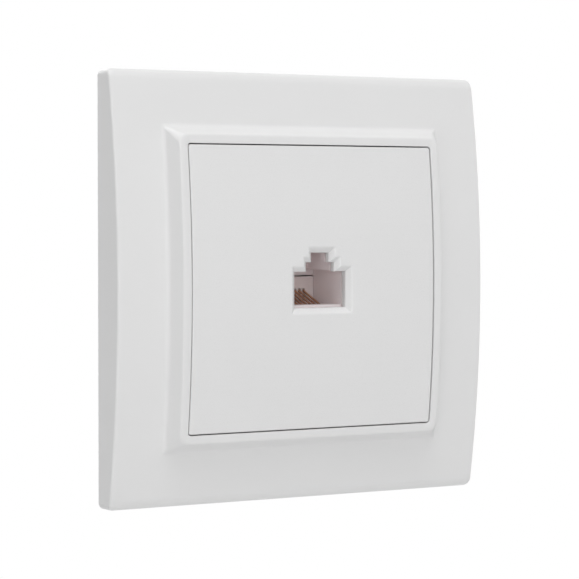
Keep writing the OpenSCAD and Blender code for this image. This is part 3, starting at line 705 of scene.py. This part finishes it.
bpy.ops.object.mode_set(mode="EDIT")
for depth, width in ((PLATE_FRONT, OUTER_LIP), (PLATE_FRONT + PORT_BEVEL, INNER_LIP)):
    print("port edges:", pick_port_edges(plate_piece, depth))
    bpy.ops.mesh.bevel(affect="EDGES", offset=width * MM, segments=LIP_STEPS, profile=0.5)
slice_levels(plate_piece, [k * LEVEL_STEP + LEVEL_SHIFT for k in range(-9, 9)])
print("points on the arc:", bend_face(plate_piece, sagitta, PLATE_SLIDE_FROM))
bpy.ops.object.mode_set(mode="OBJECT")

# %% The sleeve round the jack, and the plate's hooks
SLEEVE_HALF = 9.1
SLEEVE_LOW, SLEEVE_HIGH = -7.4, 10
SLEEVE_WALL = 1.2
SLEEVE_START, SLEEVE_END = -9.95, -7.2
PLATE_HOOK_X, PLATE_HOOK_Z = 20.95, 12
PLATE_CATCH = -3

sleeve = start_piece(
    "jack_sleeve", bpy.ops.mesh.primitive_cube_add, size=MM,
    scale=(2 * SLEEVE_HALF, SLEEVE_END - SLEEVE_START, SLEEVE_HIGH - SLEEVE_LOW),
    location=Vector((PORT_X, (SLEEVE_START + SLEEVE_END) / 2, (SLEEVE_LOW + SLEEVE_HIGH) / 2)) * MM)
pick(sleeve, "faces", lambda c: min(abs(c.y - SLEEVE_START), abs(c.y - SLEEVE_END)) < NEAR)
bpy.ops.mesh.inset(thickness=SLEEVE_WALL * MM)
bpy.ops.mesh.bridge_edge_loops()
close_piece()
join_shape(plate_piece, sleeve, "UNION")
plate_hooks = snap_hooks(
    "plate_hooks", PLATE_HOOK_X, PLATE_HOOK_Z, PLATE_FRONT + PLATE_WALL, PLATE_CATCH)
join_shape(plate_piece, plate_hooks, "UNION")
finish_piece(plate_piece, plate_asa, "plate_plastic", "centre_plate")

# %% [markdown]
# ## The carrier's screws
# Two pan-head screws hold the carrier to the support plate. A real one is headed and then
# rolled, which presses up a thread with a narrow crest. The head is a cylinder with a
# rounded front edge, its back face is inset and drawn out to the thread's core, and the
# thread is a four-sided profile that a Screw modifier winds round the core.

# %% The screw's sizes, in millimetres
SCREW_X, SCREW_Z = 15, 21
HEAD_FRONT, HEAD_BACK, SCREW_END = -6.9, -5.2, 1
HEAD_RADIUS, SCREW_RADIUS, CORE_RADIUS = 2.6, 1.45, 1.12
HEAD_ROUND, TIP_ROUND = 0.8, 0.3
THREAD_PITCH, THREAD_TURNS, THREAD_STEPS = 0.8, 6, 24
THREAD_START = HEAD_BACK + 0.45
TOOTH_ROOT, TOOTH_FOOT, TOOTH_CREST = 0.95, 0.6, 0.14
RECESS_LENGTH, RECESS_WIDTH, RECESS_DEPTH = 3, 0.8, 0.9
RECESS_TAPER = (0.45, 1, 0.6)

# %% Head and core
screws = start_piece(
    "carrier_screws_threaded", bpy.ops.mesh.primitive_cylinder_add, vertices=ROUND_SIDES,
    radius=HEAD_RADIUS * MM, depth=(HEAD_BACK - HEAD_FRONT) * MM,
    rotation=(math.pi / 2, 0, 0), location=(0, (HEAD_FRONT + HEAD_BACK) / 2 * MM, 0))
pick(screws, "edges", lambda c: c.y < HEAD_FRONT + NEAR)
bpy.ops.mesh.bevel(affect="EDGES", offset=HEAD_ROUND * MM, segments=6, profile=0.5)
pick(screws, "faces", lambda c: c.y > HEAD_BACK - NEAR)
bpy.ops.mesh.inset(thickness=(HEAD_RADIUS - CORE_RADIUS) * MM)
extrude(y=SCREW_END - HEAD_BACK)
pick(screws, "edges", lambda c: c.y > SCREW_END - NEAR)
bpy.ops.mesh.bevel(affect="EDGES", offset=TIP_ROUND * MM, segments=2)
bpy.ops.object.mode_set(mode="OBJECT")

# %% Thread and cross recess
middle = ((TOOTH_ROOT + SCREW_RADIUS) / 2 * MM, THREAD_START * MM, 0)
thread = start_piece(
    "screw_thread", bpy.ops.mesh.primitive_plane_add, size=MM, location=middle)
bpy.ops.transform.resize(value=(SCREW_RADIUS - TOOTH_ROOT, TOOTH_FOOT, 1), center_override=middle)
pick(thread, "verts", lambda c: c.x > SCREW_RADIUS - NEAR)
bpy.ops.transform.resize(value=(1, TOOTH_CREST / TOOTH_FOOT, 1), center_override=middle)
bpy.ops.mesh.select_all(action="SELECT")
bpy.ops.mesh.delete(type="ONLY_FACE")
bpy.ops.object.mode_set(mode="OBJECT")
winding = thread.modifiers.new("winding", "SCREW")
winding.axis = "Y"
winding.screw_offset = THREAD_PITCH * MM
winding.iterations = THREAD_TURNS
winding.steps = winding.render_steps = THREAD_STEPS
bpy.ops.object.modifier_apply(modifier=winding.name)
bpy.ops.object.mode_set(mode="EDIT")
bpy.ops.mesh.select_all(action="SELECT")
bpy.ops.mesh.fill_holes(sides=4)
close_piece()
join_shape(screws, thread, "UNION")

for turn in (0, math.pi / 2):
    recess = start_piece(
        "screw_recess", bpy.ops.mesh.primitive_cube_add, size=MM,
        scale=(RECESS_LENGTH, 2 * RECESS_DEPTH, RECESS_WIDTH),
        location=(0, HEAD_FRONT * MM, 0))
    pick(recess, "verts", lambda c: c.y > HEAD_FRONT)
    bpy.ops.transform.resize(value=RECESS_TAPER, center_override=(0, 0, 0))
    bpy.ops.mesh.select_all(action="SELECT")
    bpy.ops.transform.rotate(value=turn, orient_axis="Y", center_override=(0, 0, 0))
    bpy.ops.object.mode_set(mode="OBJECT")
    join_shape(screws, recess, "DIFFERENCE")

# %% Put the two screws in their holes
bpy.ops.object.mode_set(mode="EDIT")
bpy.ops.mesh.select_all(action="SELECT")
move(x=SCREW_X, z=-SCREW_Z)
bpy.ops.mesh.duplicate()
move(x=-2 * SCREW_X, z=2 * SCREW_Z)
bpy.ops.object.mode_set(mode="OBJECT")
finish_piece(screws, screw_zinc, "screw_steel", "carrier_screws")

# %% [markdown]
# ## Solder joints
# Each contact's tail and each terminal's pin comes through the board and is soldered on its
# underside. Molten solder climbs the pin and spreads over the copper, so a joint is a small
# cone with hollow sides. One is shaped from a cone and copied to every pin.

# %% Solder the pins
BOARD_UNDER = -7.6
JOINT_HEIGHT, JOINT_FOOT, JOINT_TIP = 0.85, 0.8, 0.3
# How far below the board the cone is drawn in, and by how much.
JOINT_WAIST = [(0.12, 0.86), (0.3, 0.72), (0.55, 0.74)]
CONTACT_PITCH, TAIL_ROWS = 1.02, (2.76, 5.29)
TERMINAL_PITCH, TERMINAL_Y = 4, 16.15
PINS_EACH = 8

# Solder sets bright, with fine clouds where it froze.
solder_tin = plated_metal("solder_tin_alloy", "#C9CACB", "#A9ABAD", 0.28, 0.6, 0.2, 0.004)
joint = start_piece(
    "solder_joint_1", bpy.ops.mesh.primitive_cone_add, vertices=24, radius1=JOINT_FOOT * MM,
    radius2=JOINT_TIP * MM, depth=JOINT_HEIGHT * MM, rotation=(math.pi, 0, 0),
    location=(0, 0, (BOARD_UNDER - JOINT_HEIGHT / 2) * MM))
slice_levels(joint, [BOARD_UNDER - below for below, share in JOINT_WAIST])
for below, share in JOINT_WAIST:
    pick(joint, "verts", lambda c: abs(c.z - (BOARD_UNDER - below)) < NEAR)
    bpy.ops.transform.resize(value=(share, share, 1), center_override=(0, 0, 0))
bpy.ops.object.mode_set(mode="OBJECT")

places = [i - (PINS_EACH - 1) / 2 for i in range(PINS_EACH)]
pins = [(PORT_X + p * CONTACT_PITCH, TAIL_ROWS[i % 2]) for i, p in enumerate(places)]
pins += [(p * TERMINAL_PITCH, TERMINAL_Y) for p in places]
joints = [joint]
for k in range(2, len(pins) + 1):
    copy = joint.copy()
    copy.data = joint.data.copy()
    copy.name = f"solder_joint_{k}"
    bpy.context.scene.collection.objects.link(copy)
    joints.append(copy)
for soldered, (x, y) in zip(joints, pins):
    for point in soldered.data.vertices:
        point.co += Vector((x, y, 0)) * MM
    finish_piece(soldered, solder_tin, "terminal_bronze", smooth_deg=50)
print("solder joints:", len(joints))

# %% [markdown]
# ## Light and background
# The picture has even, soft studio light: a room that is bright above the table, a large
# soft light overhead with a weaker one to its left, one in front, one beside the camera that
# reaches into the port, and one from the lower left. Their strengths were fitted to the
# brightness of the face, of the frame's wall, of the slopes of its rim and of the port, and
# then set for an even face. That leaves the port's right wall and the lower end of the
# frame's wall too bright. Two more light the right side and the back, which the front
# picture doesn't see. The background is white to the camera and in reflections only, so
# that it doesn't light the socket more than the room does.

# %% The studio
ROOM_ABOVE = 0.49
ROOM_BELOW = 0.08
HORIZON_BLEND = 0.1
LIGHT_DISTANCE = 1.3
LIGHT_SIZE = 0.9
# Each light: its name, its azimuth and elevation in degrees, and its power in watts.
LIGHTS = [
    ("overhead_light", -10, 75, 5.21),
    ("upper_left_light", -20, 55, 2.70),
    ("front_light", 2, 2, 2.25),
    ("camera_side_light", -35, 5, 2.32),
    ("low_left_light", -60, -30, 4.4),
    ("right_side_light", 112, 12, 4.0),
    ("back_light", 175, 10, 4.5),
]

world = bpy.data.worlds.new("white_studio")
world.use_nodes = True
bpy.context.scene.world = world
sky = world.node_tree
sky.nodes.clear()
seen = add_node(sky, "ShaderNodeLightPath")
camera_or_gloss = add_node(sky, "ShaderNodeMath",
                           {0: (seen, "Is Camera Ray"), 1: (seen, "Is Glossy Ray")},
                           operation="MAXIMUM")
shown = add_node(sky, "ShaderNodeMath",
                 {0: (camera_or_gloss, "Value"), 1: (seen, "Is Transmission Ray")},
                 operation="MAXIMUM")
direction = add_node(sky, "ShaderNodeTexCoord")
height = add_node(sky, "ShaderNodeSeparateXYZ", {"Vector": (direction, "Generated")})
level = add_node(sky, "ShaderNodeMapRange",
                 {"Value": (height, "Z"), "From Min": -HORIZON_BLEND,
                  "From Max": HORIZON_BLEND, "To Min": ROOM_BELOW, "To Max": ROOM_ABOVE})
room = add_node(sky, "ShaderNodeBackground",
                {"Color": (1, 1, 1, 1), "Strength": (level, "Result")})
white = add_node(sky, "ShaderNodeBackground", {"Color": (1, 1, 1, 1), "Strength": 1.0})
both = add_node(sky, "ShaderNodeMixShader",
                {0: (shown, "Value"), 1: (room, "Background"), 2: (white, "Background")})
add_node(sky, "ShaderNodeOutputWorld", {"Surface": (both, "Shader")})


def soft_light(name, azimuth, elevation, watts):
    across, up = math.radians(azimuth), math.radians(elevation)
    towards = Vector((
        math.sin(across) * math.cos(up), -math.cos(across) * math.cos(up), math.sin(up)))
    lamp = bpy.data.lights.new(name, "AREA")
    lamp.shape = "DISK"
    lamp.size = LIGHT_SIZE
    lamp.energy = watts
    held = bpy.data.objects.new(name, lamp)
    held.location = towards * LIGHT_DISTANCE
    held.rotation_euler = (-towards).to_track_quat("-Z", "Y").to_euler()
    bpy.context.scene.collection.objects.link(held)
    print(name, watts, "W")


for light in LIGHTS:
    soft_light(*light)
bpy.context.scene.view_settings.view_transform = "Standard"

# %% [markdown]
# ### The floor
# The floor is pale matt paper, low enough to stay out of the front picture. Round the socket
# it takes its shadow, and further out it turns to the white of the background, so that no
# edge of it shows from any side.

# %% The floor
FLOOR_LEVEL = -0.2
FLOOR_RADIUS = 0.6
FLOOR_SIDES = 96
FADE_FROM, FADE_TO = 0.15, FLOOR_RADIUS - 0.05
bpy.ops.object.select_all(action="DESELECT")
bpy.ops.mesh.primitive_circle_add(
    vertices=FLOOR_SIDES, radius=FLOOR_RADIUS, fill_type="NGON", location=(0, 0, FLOOR_LEVEL))
floor = bpy.context.active_object
floor.name = "studio_floor"
# Matt paper gives no gloss: only the socket's soft shadow shows on it.
floor_paper, tree = new_material("paper_matt_pale")
paper = add_node(tree, "ShaderNodeBsdfDiffuse", {"Color": linear("#E6E6E6")})
place = add_node(tree, "ShaderNodeTexCoord")
outwards = add_node(tree, "ShaderNodeVectorMath", {0: (place, "Object")}, operation="LENGTH")
fade = add_node(tree, "ShaderNodeMapRange",
                {"Value": (outwards, "Value"), "From Min": FADE_FROM, "From Max": FADE_TO},
                interpolation_type="SMOOTHSTEP")
ray = add_node(tree, "ShaderNodeLightPath")
faded = add_node(tree, "ShaderNodeMath", {0: (fade, "Result"), 1: (ray, "Is Camera Ray")},
                 operation="MULTIPLY")
backdrop = add_node(tree, "ShaderNodeEmission", {"Color": (1, 1, 1, 1), "Strength": 1.0})
blended = add_node(tree, "ShaderNodeMixShader",
                   {0: (faded, "Value"), 1: (paper, "BSDF"), 2: (backdrop, "Emission")})
add_node(tree, "ShaderNodeOutputMaterial", {"Surface": (blended, "Shader")})
floor.data.materials.append(floor_paper)
